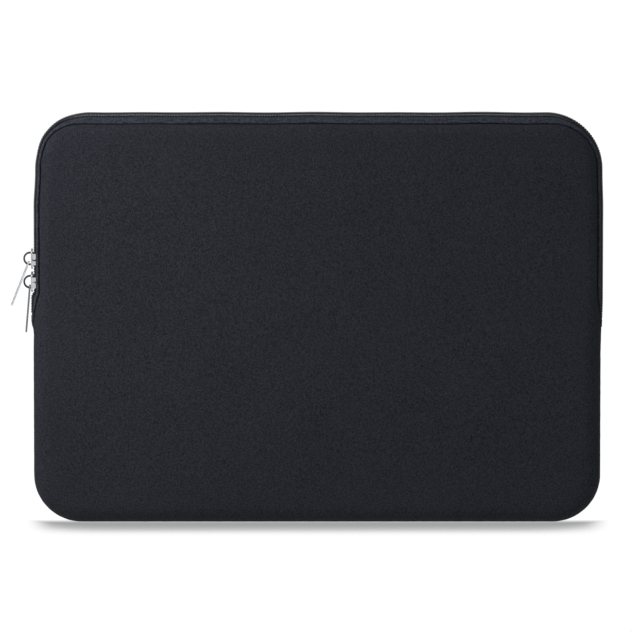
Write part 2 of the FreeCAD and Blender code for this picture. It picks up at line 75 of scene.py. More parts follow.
RIM_RADIUS = 10.5 * MM
PANEL_HALF = high_of("back_outer_fabric").x
HALF_DEPTH = high_of("back_outer_fabric").y
RIM_FLAT = HALF_DEPTH - RIM_RADIUS
FABRIC = HALF_DEPTH - high_of("back_foam").y
FOAM = high_of("back_foam").y - high_of("back_lining").y
LINING = 0.8 * MM
SEAM_REACH = high_of("back_zip_tape").y
SEAM_INSET = RIM_RADIUS - math.sqrt(RIM_RADIUS ** 2 - (SEAM_REACH - RIM_FLAT) ** 2)
PANEL_TOP = high_of("back_outer_fabric").z + SEAM_INSET
COIL_BASE_HALF = high_of("back_zip_tape").x
COIL_BASE_TOP = high_of("back_zip_tape").z
ZIP_START = low_of("back_zip_coil").z
FOLD = Vector(next(j for j in frame["joints"] if j["name"] == "mouth_open")["pos_m"])
UPPER_SLIDER = (low_of("upper_slider_body").z, high_of("upper_slider_body").z)
LOWER_SLIDER = (low_of("lower_slider_body").z, high_of("lower_slider_body").z)

# ---------------------------------------------------------------- sizes of the sewn shapes

PANEL_TOP_RADIUS = 30.5 * MM
PANEL_LOW_RADIUS = 29.5 * MM
COIL_RADIUS = 33.3 * MM
SIDE_GAP = 0.2 * MM
WINDOW_END_REACH = 5.8 * MM
WINDOW_TAPER = 17 * MM
WINDOW_CLOSE = 7 * MM
TAPE_TUCK = 9 * MM
TAPE_END_RISE = 1.8 * MM


def smooth(x, low, high):
    """0 below low, 1 above high, and an even curve between."""
    t = np.clip((np.asarray(x, float) - low) / (high - low), 0, 1)
    return t * t * (3 - 2 * t)


def near(distance, full, none):
    """1 up to the first distance, 0 from the second on, and an even curve between."""
    return 1 - smooth(distance, full, none)


def wobble(s, wavelength, seed, waves=5):
    """A soft random wave along s, between about -1 and 1."""
    draw = np.random.default_rng(seed)
    total = np.zeros_like(np.asarray(s, float))
    for _ in range(waves):
        length = wavelength * draw.uniform(0.6, 1.7)
        total = total + np.sin(2 * math.pi * (s / length + draw.uniform()))
    return total / waves * 1.4


TOP_WAVE_UP = 0.28 * MM
TOP_WAVE_ACROSS = 0.35 * MM
LOWER_LEAN = 0.8 * MM
LOWER_DRAW_IN = 0.2 * MM
LEFT_PINCH = 1.0 * MM
RIGHT_PINCH = 0.55 * MM
CORNER_LIFT = 1.1 * MM
ZIP_END_BULGE = 1.6 * MM


def settle(points):
    """The slight sag of the whole sewn sleeve: its top edge waves, its lower half is drawn in and leans
    left, its sides are pinched below the upper corners and the left corner stands high, and the end of
    the zip pushes the left edge out below the sliders."""
    moved = points.copy()
    x, y, z = points.T
    from_left, from_right, from_side = PANEL_HALF + x, PANEL_HALF - x, PANEL_HALF - np.abs(x)
    below_top, above_zip_start = PANEL_TOP - z, z - ZIP_START

    top = near(below_top, 2 * MM, 26 * MM) * smooth(from_side, 24.5 * MM, 49.5 * MM)
    moved[:, 2] += TOP_WAVE_UP * top * wobble(x, 0.075, seed=3)
    moved[:, 1] += TOP_WAVE_ACROSS * top * wobble(x, 0.11, seed=4)

    lower_half = near(z - FOLD.z, -22 * MM, 16 * MM)
    draw_in = LOWER_DRAW_IN * near(from_side, 4.5 * MM, 74.5 * MM) * np.sign(x)
    moved[:, 0] -= lower_half * (LOWER_LEAN + draw_in)

    upper = near(below_top, 33 * MM, 57 * MM)
    left_waist = near(from_left, 14.5 * MM, 54.5 * MM) * upper * smooth(below_top, 12 * MM, 26 * MM)
    moved[:, 0] += LEFT_PINCH * left_waist
    moved[:, 0] -= RIGHT_PINCH * near(from_right, 14.5 * MM, 54.5 * MM) * upper
    left_corner = near(from_left, 11.5 * MM, 29.5 * MM) * near(below_top, 10 * MM, 26 * MM)
    moved[:, 2] += CORNER_LIFT * left_corner

    zip_end = smooth(above_zip_start, -10.5 * MM, 1 * MM) * near(above_zip_start, 13.2 * MM, 17 * MM)
    between_seams = 1 - 0.9 * smooth(np.abs(y), 4 * MM, 10.5 * MM)
    moved[:, 0] -= ZIP_END_BULGE * zip_end * near(from_left, 3.5 * MM, 16.5 * MM) * between_seams
    return moved


# ---------------------------------------------------------------- outlines

LEG, CORNER, BEAM = 90, 26, 120


def corner_points(centre, radius, first, last, count):
    """Points and normals of an arc between two angles in degrees, without its last point."""
    angle = np.linspace(math.radians(first), math.radians(last), count, endpoint=False)
    normal = np.stack([np.cos(angle), np.sin(angle)], axis=1)
    return np.array(centre) + radius * normal, normal


def straight_points(start, end, normal, count, closed_end=False):
    """Points and normals of a straight run, with its last point only if closed_end is set."""
    t = np.linspace(0, 1, count, endpoint=closed_end)[:, None]
    points = np.array(start) * (1 - t) + np.array(end) * t
    return points, np.tile(np.array(normal, float), (count, 1))


def arch(half, top, radius, low, leg=LEG, corner=CORNER, beam=BEAM):
    """Points and outward normals (x, z) from an arch's right foot, over the top, to its left foot."""
    inner, shoulder = half - radius, top - radius
    runs = [
        straight_points((half, low), (half, shoulder), (1, 0), leg),
        corner_points((inner, shoulder), radius, 0, 90, corner),
        straight_points((inner, top), (-inner, top), (0, 1), beam),
        corner_points((-inner, shoulder), radius, 90, 180, corner),
        straight_points((-half, shoulder), (-half, low), (-1, 0), leg + 1, closed_end=True),
    ]
    return np.concatenate([r[0] for r in runs]), np.concatenate([r[1] for r in runs])


def ring(half, top, top_radius, low_radius, leg, corner, beam):
    """Points and outward normals round a whole panel, from the right side's lower corner."""
    points, normals = arch(half, top, top_radius, low_radius, leg, corner, beam)
    inner = half - low_radius
    runs = [
        corner_points((-inner, low_radius), low_radius, 180, 270, corner),
        straight_points((-inner, 0), (inner, 0), (0, -1), beam),
        corner_points((inner, low_radius), low_radius, 270, 360, corner),
    ]
    points = np.concatenate([points[:-1]] + [r[0] for r in runs])
    normals = np.concatenate([normals[:-1]] + [r[1] for r in runs])
    return points, normals


def seam_reach(z):
    """How far from the middle plane a panel's edge stays, by height: wide where the zip runs."""
    widened = smooth(z, ZIP_START, ZIP_START + WINDOW_TAPER)
    open_part = WINDOW_END_REACH + (SEAM_REACH - WINDOW_END_REACH) * widened
    opened = smooth(z, ZIP_START - WINDOW_CLOSE, ZIP_START)
    return SIDE_GAP + (open_part - SIDE_GAP) * opened


def rim_distance(reach):
    """The distance along the panel's surface from the middle plane to a reach."""
    angle = np.arcsin(np.clip((reach - RIM_FLAT) / RIM_RADIUS, 0, 1))
    return np.minimum(reach, RIM_FLAT) + RIM_RADIUS * angle


RIM_LENGTH = RIM_FLAT + RIM_RADIUS * math.pi / 2


def rim_place(distance):
    """Inset and reach, with their outward direction, at a distance along the surface."""
    angle = np.clip((distance - RIM_FLAT) / RIM_RADIUS, 0, math.pi / 2)
    past = np.maximum(distance - RIM_LENGTH, 0)
    inset = RIM_RADIUS * (1 - np.cos(angle)) + past
    reach = np.minimum(distance, RIM_FLAT) + RIM_RADIUS * np.sin(angle)
    return inset, reach, np.cos(angle), np.sin(angle)


# ---------------------------------------------------------------- materials


def shade(red, green, blue):
    """A display colour (0 to 255) as the linear colour that a shader takes."""
    linear = [((c / 255 + 0.055) / 1.055) ** 2.4 if c > 10 else c / 255 / 12.92
              for c in (red, green, blue)]
    return (*linear, 1.0)


def metal_shade(red, green, blue):
    """A metal's reflected share of red, green and blue light as a shader's colour."""
    return (red, green, blue, 1.0)


class Look:
    """A material whose node tree is built with short calls."""

    def __init__(self, name, roughness=0.8, metallic=0.0, sheen=0.0, coat=0.0, specular=0.15):
        self.material = bpy.data.materials.new(name)
        self.material.use_nodes = True
        self.nodes = self.material.node_tree.nodes
        self.links = self.material.node_tree.links
        self.surface = self.nodes["Principled BSDF"]
        self.set("Roughness", roughness)
        self.set("Metallic", metallic)
        self.set("Sheen Weight", sheen)
        self.set("Sheen Roughness", 0.45)
        self.set("Coat Weight", coat)
        self.set("Specular IOR Level", specular)

    def feed(self, socket, value):
        if isinstance(value, bpy.types.NodeSocket):
            self.links.new(value, socket)
        else:
            socket.default_value = value

    def set(self, socket, value):
        self.feed(self.surface.inputs[socket], value)

    def add(self, kind, values=(), **settings):
        node = self.nodes.new("ShaderNode" + kind)
        for key, value in settings.items():
            setattr(node, key, value)
        for place, value in enumerate(values):
            if value is not None:
                self.feed(node.inputs[place], value)
        return node

    def math(self, operation, *values, clamp=False):
        return self.add("Math", values, operation=operation, use_clamp=clamp).outputs[0]

    def uv(self):
        """The surface's own two lengths in metres."""
        split = self.add("SeparateXYZ", [self.add("TexCoord").outputs["UV"]])
        return split.outputs[0], split.outputs[1]

    def space(self):
        """The place in the sleeve's frame, in metres."""
        return self.add("TexCoord").outputs["Object"]

    def joined(self, x, y):
        return self.add("CombineXYZ", [x, y]).outputs[0]

    def noise(self, size, detail=2.0, vector=None):
        """Soft noise whose blotches are about this size."""
        node = self.add("TexNoise", [vector or self.space(), None, 1 / size, detail])
        return node.outputs[0]

    def scatter(self, vector):
        """A random value for each whole-number place."""
        return self.add("TexWhiteNoise", [vector], noise_dimensions="2D").outputs[0]

    def round_rib(self, value, width):
        """1 on top of each rib of this width and 0 between two."""
        return self.math("ABSOLUTE", self.math("SINE", self.math("MULTIPLY", value, math.pi / width)))

    def between(self, factor, first, second):
        """A colour that goes from first to second as the factor goes from 0 to 1."""
        node = self.add("Mix", data_type="RGBA")
        self.feed(node.inputs[0], factor)
        self.feed(node.inputs[6], first)
        self.feed(node.inputs[7], second)
        return node.outputs[2]

    def emboss(self, height, depth, strength=1.0):
        bump = self.add("Bump", [strength, depth])
        self.feed(bump.inputs["Height"], height)
        self.set("Normal", bump.outputs[0])


def outer_fabric():
    """A fine knit: two slanted legs of yarn to each stitch, with a slight melange of shades."""
    look = Look("outer_fabric", roughness=0.86, sheen=0.02, specular=0.2)
    wale, course = 0.85 * MM, 0.62 * MM
    u, v = look.uv()
    column = look.math("DIVIDE", u, wale)
    across = look.math("ABSOLUTE", look.math("MULTIPLY_ADD", look.math("FRACT", column), 2.0, -1.0))
    row = look.math("MULTIPLY_ADD", across, 0.6, look.math("DIVIDE", v, course))
    leg = look.math("MULTIPLY_ADD", across, 2.0, -1.0)
    leg = look.math("SUBTRACT", 1.0, look.math("MULTIPLY", leg, leg))
    yarn = look.math("SQRT", look.math("MULTIPLY", leg, look.round_rib(row, 1.0)))
    half_column = look.math("FLOOR", look.math("MULTIPLY", column, 2.0))
    tone = look.scatter(look.joined(half_column, look.math("FLOOR", row)))
    fuzz = look.noise(0.12 * MM, 3.0)
    fleck = look.math("MULTIPLY_ADD", look.noise(0.8 * MM, 2.0), 3.6, -1.55)
    patch = look.noise(45 * MM, 3.0)
    tone = look.math("ADD", look.math("MULTIPLY", tone, 0.5), look.math("MULTIPLY", fleck, 0.45))
    tone = look.math("MULTIPLY_ADD", patch, 0.2, tone, clamp=True)
    yarn_colour = look.between(tone, shade(21, 22, 28), shade(71, 73, 84))
    look.set("Base Color", look.between(yarn, shade(18, 19, 24), yarn_colour))
    look.set("Sheen Tint", shade(190, 195, 210))
    look.emboss(look.math("MULTIPLY_ADD", fuzz, 0.25, yarn), 0.16 * MM, 0.7)
    return look.material


def foam_core():
    """Dark open-cell foam."""
    look = Look("foam_core", roughness=0.95)
    cells = look.add("TexVoronoi", [look.space(), None, 1 / (0.7 * MM)]).outputs[0]
    look.set("Base Color", look.between(cells, shade(34, 34, 37), shade(78, 78, 82)))
    look.emboss(cells, 0.25 * MM)
    return look.material


def plush_lining():
    """Short brushed pile that lies in soft patches."""
    look = Look("plush_lining", roughness=0.95, sheen=0.45)
    pile = look.noise(0.35 * MM, 4.0)
    nap = look.noise(16 * MM, 3.0)
    look.set("Base Color", look.between(nap, shade(40, 42, 48), shade(66, 68, 76)))
    look.emboss(look.math("MULTIPLY_ADD", nap, 0.6, pile), 0.35 * MM, 0.8)
    return look.material


def zip_tape():
    """Woven herringbone tape."""
    look = Look("zip_tape", roughness=0.78, sheen=0.05)
    u, v = look.uv()
    slant = look.math("ADD", u, look.math("PINGPONG", v, 1.25 * MM))
    twill = look.round_rib(slant, 0.52 * MM)
    weft = look.round_rib(v, 0.34 * MM)
    height = look.math("MULTIPLY_ADD", weft, 0.3, twill)
    mottle = look.math("MULTIPLY_ADD", look.noise(1.5 * MM, 2.0), 3.2, -1.35)
    tone = look.math("MULTIPLY_ADD", mottle, 0.85, look.math("MULTIPLY", twill, 0.5), clamp=True)
    look.set("Base Color", look.between(tone, shade(22, 24, 31), shade(64, 69, 82)))
    look.emboss(height, 0.10 * MM, 0.8)
    return look.material


def zip_coil():
    """Dyed nylon filament, smooth and slightly shiny."""
    look = Look("zip_coil", coat=0.4, specular=0.5)
    wear = look.noise(1.6 * MM, 4.0)
    look.set("Base Color", look.between(wear, shade(20, 22, 28), shade(44, 48, 56)))
    look.set("Roughness", look.math("MULTIPLY_ADD", wear, 0.15, 0.15))
    look.emboss(look.noise(0.2 * MM, 3.0), 0.01 * MM, 0.5)
    return look.material


def yarn(name, dark, light, radius, turn):
    """Plied thread: strands that wind round it, seen as slanted ribs."""
    look = Look(name, roughness=0.7, sheen=0.15)
    u, v = look.uv()
    wound = look.math("MULTIPLY_ADD", v, turn / (2 * math.pi * radius), u)
    strand = look.round_rib(wound, turn / 2)
    fuzz = look.noise(0.1 * MM, 2.0)
    look.set("Base Color", look.between(look.math("MULTIPLY", strand, fuzz), dark, light))
    look.emboss(strand, 0.05 * MM, 0.8)
    return look.material


def binding_tape():
    """Grosgrain ribbon with ribs across its width."""
    look = Look("binding_tape", roughness=0.75, sheen=0.15)
    u, v = look.uv()
    rib = look.round_rib(u, 0.8 * MM)
    warp = look.round_rib(v, 0.3 * MM)
    weave = look.math("MULTIPLY", rib, warp)
    look.set("Base Color", look.between(weave, shade(22, 23, 27), shade(50, 52, 60)))
    look.emboss(look.math("MULTIPLY_ADD", warp, 0.3, rib), 0.12 * MM, 0.8)
    return look.material


def polished_metal(name, dark, light, roughness):
    """Plated die-cast metal with fine rub marks, brighter where edges are worn."""
    look = Look(name, metallic=1.0, specular=0.5)
    rub = look.add("Mapping", [look.space(), (0, 0, 0), (0.2, 0.1, 0.4), (1, 1, 0.12)]).outputs[0]
    marks = look.noise(0.25 * MM, 5.0, rub)
    cloud = look.noise(3 * MM, 3.0)
    edge = look.add("NewGeometry").outputs["Pointiness"]
    worn = look.math("MULTIPLY_ADD", look.math("SUBTRACT", edge, 0.5), 6.0, cloud, clamp=True)
    look.set("Base Color", look.between(worn, dark, light))
    look.set("Roughness", look.math("MULTIPLY_ADD", marks, 0.16, roughness))
    look.emboss(marks, 0.012 * MM, 0.5)
    return look.material


CORD_RADIUS = 0.2 * MM
COIL_THREAD_RADIUS = 0.13 * MM
SEAM_THREAD_RADIUS = 0.17 * MM
BLACK_YARN = (shade(12, 13, 16), shade(30, 31, 36))

MATERIALS = {
    "outer_fabric": outer_fabric(),
    "foam_core": foam_core(),
    "plush_lining": plush_lining(),
    "zip_tape": zip_tape(),
    "zip_coil": zip_coil(),
    "filler_cord": yarn("filler_cord", *BLACK_YARN, CORD_RADIUS, 0.9 * MM),
    "coil_thread": yarn("coil_thread", *BLACK_YARN, COIL_THREAD_RADIUS, 0.6 * MM),
    "seam_thread": yarn("seam_thread", shade(34, 36, 42), shade(84, 87, 96), SEAM_THREAD_RADIUS, 0.7 * MM),
    "binding_tape": binding_tape(),
    "slider_metal": polished_metal("slider_metal", metal_shade(0.30, 0.33, 0.34),
                                   metal_shade(0.64, 0.66, 0.68), 0.08),
    "bridge_metal": polished_metal("bridge_metal", metal_shade(0.02, 0.022, 0.024),
                                   metal_shade(0.10, 0.105, 0.11), 0.16),
    "pull_metal": polished_metal("pull_metal", metal_shade(0.62, 0.63, 0.65),
                                 metal_shade(0.88, 0.89, 0.91), 0.20),
}
# The pull metal again, darker, for the lower pull: painted shade standing in for the dark surroundings its
# face mirrors, not a different finish or wear.
PAINTED_SHADE_PULL = polished_metal("shaded_pull_metal", metal_shade(0.14, 0.16, 0.17),
                             metal_shade(0.30, 0.32, 0.34), 0.22)


# ---------------------------------------------------------------- mesh building

def make_piece(name, slot, *shapes):
    """A smooth-shaded object of one material from shapes: (points, faces, UVs in metres) each."""
    counts = np.cumsum([0] + [len(points) for points, _, _ in shapes])
    points = settle(np.concatenate([points for points, _, _ in shapes]))
    faces = [tuple(int(i) + int(count) for i in face)
             for count, (_, shape_faces, _) in zip(counts, shapes) for face in shape_faces]
    flat = np.concatenate([uv for _, _, uv in shapes])
    mesh = bpy.data.meshes.new(name)
    mesh.from_pydata(points.tolist(), [], faces)
    mesh.update()
    mesh.polygons.foreach_set("use_smooth", [True] * len(mesh.polygons))
    corners = np.empty(len(mesh.loops), dtype=np.int32)
    mesh.loops.foreach_get("vertex_index", corners)
    mesh.uv_layers.new(name="UVMap").data.foreach_set("uv", flat[corners].astype(np.float32).ravel())
    mesh.materials.append(MATERIALS[slot])
    piece = bpy.data.objects.new(name, mesh)
    bpy.context.scene.collection.objects.link(piece)
    return piece


def grid_faces(rows, columns, wrap=False, start=0):
    """Quads of a grid of points stored row by row."""
    faces = []
    for i in range(rows - 1):
        for j in range(columns if wrap else columns - 1):
            after = (j + 1) % columns
            faces.append((start + i * columns + j, start + i * columns + after,
                          start + (i + 1) * columns + after, start + (i + 1) * columns + j))
    return faces


def grid_normals(grid):
    """Unit normals of a grid of points (rows, columns, 3)."""
    down = np.gradient(grid, axis=0)
    along = np.gradient(grid, axis=1)
    normal = np.cross(down, along)
    return normal / np.maximum(np.linalg.norm(normal, axis=2, keepdims=True), 1e-12)


def strip(grid, thickness, uv, outward):
    """A closed strip of even thickness under a grid of points. outward (rows, columns, 3) or a
    vector says which side the grid's face looks to."""
    rows, columns = grid.shape[:2]
    normal = grid_normals(grid)
    facing = np.sign(np.sum(normal * outward, axis=2, keepdims=True).mean())
    normal = normal * facing
    under = grid - normal * thickness
    points = np.concatenate([grid.reshape(-1, 3), under.reshape(-1, 3)])
    count = rows * columns
    top = grid_faces(rows, columns)
    if facing < 0:
        top = [f[::-1] for f in top]
    faces = list(top)
    faces += [tuple(i + count for i in f[::-1]) for f in top]
    border = [(0, j) for j in range(columns)]
    border += [(i, columns - 1) for i in range(1, rows)]
    border += [(rows - 1, j) for j in range(columns - 2, -1, -1)]
    border += [(i, 0) for i in range(rows - 2, 0, -1)]
    loop = [i * columns + j for i, j in border]
    for a, b in zip(loop, loop[1:] + loop[:1]):
        side = (b, a, a + count, b + count)
        faces.append(side if facing < 0 else side[::-1])
    flat = np.concatenate([uv.reshape(-1, 2)] * 2)
    return points, faces, flat


def transported_frames(centres):
    """Tangents and two even cross directions along a line of points."""
    tangent = np.gradient(centres, axis=0)
    tangent /= np.linalg.norm(tangent, axis=1, keepdims=True)
    side = np.empty_like(tangent)
    start = np.cross(tangent[0], [0.3, 0.5, 0.81])
    side[0] = start / np.linalg.norm(start)
    for i in range(1, len(centres)):
        v = side[i - 1] - tangent[i] * np.dot(side[i - 1], tangent[i])
        side[i] = v / np.linalg.norm(v)
    return tangent, side, np.cross(tangent, side)


def tube(centres, radius, sides):
    """A round tube along a line of points, with closed ends."""
    _, side, other = transported_frames(centres)
    angle = np.linspace(0, 2 * math.pi, sides, endpoint=False)
    ring_points = (np.cos(angle)[None, :, None] * side[:, None, :]
                   + np.sin(angle)[None, :, None] * other[:, None, :])
    points = (centres[:, None, :] + radius * ring_points).reshape(-1, 3)
    run = np.concatenate([[0], np.cumsum(np.linalg.norm(np.diff(centres, axis=0), axis=1))])
    uv = np.stack([np.repeat(run, sides), np.tile(angle * radius, len(centres))], axis=1)
    faces = grid_faces(len(centres), sides, wrap=True)
    last = (len(centres) - 1) * sides
    faces.append(tuple(range(sides))[::-1])
    faces.append(tuple(range(last, last + sides)))
    return points, faces, uv


def stitches(starts, ends, up, radius, lift, sides=6, rings=7):
    """Short threads from start to end points, each arched along its up direction."""
    t = np.linspace(0, 1, rings)
    swell = np.sqrt(np.clip(1 - (2 * t - 1) ** 4, 0.02, 1))
    rise = lift * np.sin(math.pi * t) ** 0.7
    along = ends - starts
    direction = along / np.linalg.norm(along, axis=1, keepdims=True)
    across = np.cross(direction, up)
    across /= np.linalg.norm(across, axis=1, keepdims=True)
    angle = np.linspace(0, 2 * math.pi, sides, endpoint=False)
    centre = (starts[:, None, :] + along[:, None, :] * t[None, :, None]
              + up[:, None, :] * rise[None, :, None])
    ring_points = (np.cos(angle)[None, None, :, None] * up[:, None, None, :]
                   + np.sin(angle)[None, None, :, None] * across[:, None, None, :])
    points = centre[:, :, None, :] + radius * swell[None, :, None, None] * ring_points
    one = grid_faces(rings, sides, wrap=True)
    one += [tuple(range(sides))[::-1], tuple(range((rings - 1) * sides, rings * sides))]
    each = rings * sides
    faces = [tuple(i + k * each for i in f) for k in range(len(starts)) for f in one]
    run = np.linalg.norm(along, axis=1)
    uv = np.stack(np.broadcast_arrays(run[:, None, None] * t[None, :, None],
                                      angle[None, None, :] * radius), axis=-1).reshape(-1, 2)
    return points.reshape(-1, 3), faces, uv


def weld(points, faces, tolerance=1e-7):
    """Join points that coincide, and drop faces that this closes up."""
    keys = np.round(points / tolerance).astype(np.int64)
    _, first, inverse = np.unique(keys, axis=0, return_index=True, return_inverse=True)
    order = np.argsort(first)
    rank = np.empty_like(order)
    rank[order] = np.arange(len(order))
    index = rank[inverse.ravel()]
    kept = []
    for face in faces:
        corners = [int(index[i]) for i in face]
        corners = [c for k, c in enumerate(corners) if c != corners[k - 1]]
        if len(set(corners)) == len(corners) and len(corners) >= 3:
            kept.append(tuple(corners))
    return first[order], kept


def point_normals(points, faces):
    """Unit normals of a mesh's points, from the faces round each."""
    total = np.zeros_like(points)
    quads = np.array([f if len(f) == 4 else (*f, f[2]) for f in faces])
    p = points[quads]
    normal = np.cross(p[:, 2] - p[:, 0], p[:, 3] - p[:, 1])
    flat = np.linalg.norm(normal, axis=1) < 1e-14
    normal[flat] = np.cross(p[flat, 1] - p[flat, 0], p[flat, 2] - p[flat, 0])
    for corner in range(4):
        np.add.at(total, quads[:, corner], normal)
    return total / np.maximum(np.linalg.norm(total, axis=1, keepdims=True), 1e-12)


# ---------------------------------------------------------------- the padded panels

FLAT_INSET = 28 * MM
LIP_WIDTH = 2.3 * MM
LIP_DEPTH = 1.3 * MM
ROLL_DEPTH = 1.1 * MM
ROLL_LENGTH = 13 * MM
BEAD_HEIGHT = 0.24 * MM
BEAD_WIDTH = 0.9 * MM
PUCKER_HEIGHT = 0.10 * MM
PUCKER_REACH = 5 * MM
LAYER_GAP = 0.04 * MM


def panel_sheet(sign, seed, leg, corner, beam, rim_rings, face_rings):
    """The outer surface of one panel as points, faces, UVs and the indices of its sewn edge.

    Rings run inward from the sewn edge over the rounded rim to an inset, and from there shrink
    evenly to a line in the middle of the face.
    """
    base, out = ring(PANEL_HALF, PANEL_TOP, PANEL_TOP_RADIUS, PANEL_LOW_RADIUS, leg, corner, beam)
    count = len(base)
    around = np.concatenate([[0], np.cumsum(np.linalg.norm(np.diff(base, axis=0), axis=1))])
    on_top = out[:, 1] > 1e-6
    reach = np.where(on_top, SEAM_REACH, seam_reach(base[:, 1]))
    start = rim_distance(reach)
    end = RIM_LENGTH + FLAT_INSET - RIM_RADIUS

    closed = near(base[:, 1], ZIP_START - 17 * MM, ZIP_START)
    bottom = np.clip(-out[:, 1], 0, 1)
    bead_place = (7.5 + 3.6 * bottom) * MM
    pucker = PUCKER_HEIGHT * wobble(around, 0.009, seed)
    lip_depth = LIP_DEPTH * (1 - 0.3 * on_top * (1 + wobble(around, 0.012, seed + 5)))

    rows, flats = [], []
    for fraction in np.linspace(0, 1, rim_rings) ** 1.35:
        distance = start + (end - start) * fraction
        inset, depth, facing_out, facing_front = rim_place(distance)
        from_seam = distance - start
        lip = -lip_depth * np.clip(1 - from_seam / LIP_WIDTH, 0, 1) ** 2
        bead = BEAD_HEIGHT * closed * np.exp(-((distance - bead_place) / BEAD_WIDTH) ** 2)
        rumple = pucker * np.exp(-from_seam / PUCKER_REACH) * np.clip(from_seam / MM, 0, 1)
        raised = lip + bead + rumple
        roll = ROLL_DEPTH * np.exp(-inset / ROLL_LENGTH) * smooth(depth, 2 * MM, 11.5 * MM)
        place = base - out * (inset - raised * facing_out)[:, None]
        y = sign * (depth + raised * facing_front - roll)
        rows.append(np.stack([place[:, 0], y, place[:, 1]], axis=1))
        unrolled = np.maximum(RIM_LENGTH - distance, 0)
        flats.append(base - out * (np.maximum(inset, RIM_RADIUS) - unrolled)[:, None])

    rim_end = rows[-1]
    half_line = PANEL_HALF - PANEL_TOP / 2
    beam_share = np.arange(beam) / beam
    line = half_line * np.concatenate([
        np.full(leg + corner, 1.0), 1 - 2 * beam_share,
        np.full(2 * corner + leg, -1.0), -1 + 2 * beam_share,
        np.full(corner, 1.0),
    ])
    middle = np.stack([line, np.full(count, PANEL_TOP / 2)], axis=1)
    corner_of_rim = rim_end[:, [0, 2]]
    for share in np.linspace(0, 1, face_rings + 1)[1:]:
        place = corner_of_rim * (1 - share) + middle * share
        inset = FLAT_INSET + share * (PANEL_TOP / 2 - FLAT_INSET)
        y = np.full(count, sign * (HALF_DEPTH - ROLL_DEPTH * math.exp(-inset / ROLL_LENGTH)))
        rows.append(np.stack([place[:, 0], y, place[:, 1]], axis=1))
        flats.append(place)

    points = np.concatenate(rows)
    faces = grid_faces(len(rows), count, wrap=True)
    if sign > 0:
        faces = [f[::-1] for f in faces]
    kept, faces = weld(points, faces)
    edge = list(range(count))
    return points[kept], faces, np.concatenate(flats)[kept], edge


def face_swell(points, sign, seed):
    """Slow unevenness of a padded face, fading out at its rim."""
    x, z = points[:, 0], points[:, 2]
    inner = np.minimum(PANEL_HALF - np.abs(x), np.minimum(z, PANEL_TOP - z))
    fade = smooth(inner, 6 * MM, 30 * MM)
    swell = wobble(x + 0.3 * z, 0.13, seed) * wobble(z - 0.2 * x, 0.11, seed + 1)
    moved = points.copy()
    moved[:, 1] -= sign * 0.22 * MM * (0.6 + 0.6 * swell) * fade
    return moved


def panel_layer(sheet, sign, seed, outer, inner):
    """One closed layer of a panel, between two depths under its outer surface."""
    points, faces, flat, edge = sheet
    points = face_swell(points, sign, seed)
    normal = point_normals(points, faces)
    count = len(points)
    both = np.concatenate([points - normal * outer, points - normal * inner])
    all_faces = list(faces) + [tuple(i + count for i in f[::-1]) for f in faces]
    for a, b in zip(edge, edge[1:] + edge[:1]):
        side = (b, a, a + count, b + count)
        all_faces.append(side if sign < 0 else side[::-1])
    return both, all_faces, np.concatenate([flat, flat])


def make_panels():
    """The front and back laminates, each of fabric, foam and lining."""
    layers = [
        ("outer_fabric", "outer_fabric", 0.0, FABRIC - LAYER_GAP),
        ("foam", "foam_core", FABRIC + LAYER_GAP, FABRIC + FOAM - LAYER_GAP),
        ("lining", "plush_lining", FABRIC + FOAM + LAYER_GAP, FABRIC + FOAM + LINING),
    ]
    for side, sign, seed in (("front", -1, 11), ("back", 1, 31)):
        sheet = panel_sheet(sign, seed, leg=64, corner=22, beam=96, rim_rings=26, face_rings=26)
        for layer, slot, outer, inner in layers:
            shape = panel_layer(sheet, sign, seed, outer, inner)
            piece = make_piece(f"{side}_panel_{layer}", slot, shape)
            if side == "front":
                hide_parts(f"front_pocket_{layer}", f"front_flap_{layer}")
                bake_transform(piece)
            else:
                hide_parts(f"back_{layer}")
                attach(piece, FIXED)


# ---------------------------------------------------------------- the zip


class Track:
    """A line in the sleeve's middle plane that gives its place and outward direction at a length."""

    def __init__(self, points, normals):
        steps = np.linalg.norm(np.diff(points, axis=0), axis=1)
        self.run = np.concatenate([[0], np.cumsum(steps)])
        self.points, self.normals = points, normals
        self.length = self.run[-1]

    def at(self, run):
        place = np.stack([np.interp(run, self.run, self.points[:, i]) for i in (0, 1)], axis=-1)
        out = np.stack([np.interp(run, self.run, self.normals[:, i]) for i in (0, 1)], axis=-1)
        return place, out / np.linalg.norm(out, axis=-1, keepdims=True)

    def place(self, run, lift, y):
        """Points in space at a length along the line, a lift out of it and a place across it."""
        place, out = self.at(run)
        flat = place + out * np.asarray(lift)[..., None]
        return np.stack([flat[..., 0], np.broadcast_to(y, flat[..., 0].shape), flat[..., 1]], axis=-1)


COIL_TRACK = Track(*arch(COIL_BASE_HALF, COIL_BASE_TOP, COIL_RADIUS, ZIP_START,
                         leg=400, corner=400, beam=400))
COIL_PITCH = 1.67 * MM
COIL_START = 0.8 * MM
WIRE = 0.37 * MM
COIL_RISE = 0.48 * MM
COIL_CENTRE = COIL_RISE + WIRE
COIL_OUTER = 2.05 * MM
COIL_INNER = 0.12 * MM
COIL_MIDDLE = (COIL_OUTER + COIL_INNER) / 2
COIL_SPREAD = 1.35 * MM
COIL_SAG = 0.45 * MM
COIL_TURNS = int((COIL_TRACK.length - 2 * MM) / COIL_PITCH)
SLIDER_MOUTH = 5.5 * MM
SLIDER_WEDGE = 2.4 * MM
RIBBON = 0.35 * MM


def spread(points):
    """How far the coils stand apart between the wedges of the two sliders."""
    z, left = points[..., 2], points[..., 0] < 0
    low, high = LOWER_SLIDER[1] - SLIDER_MOUTH, UPPER_SLIDER[0] + SLIDER_MOUTH
    return COIL_SPREAD * smooth(z, low - SLIDER_WEDGE, low) * near(z, high, high + SLIDER_WEDGE) * left


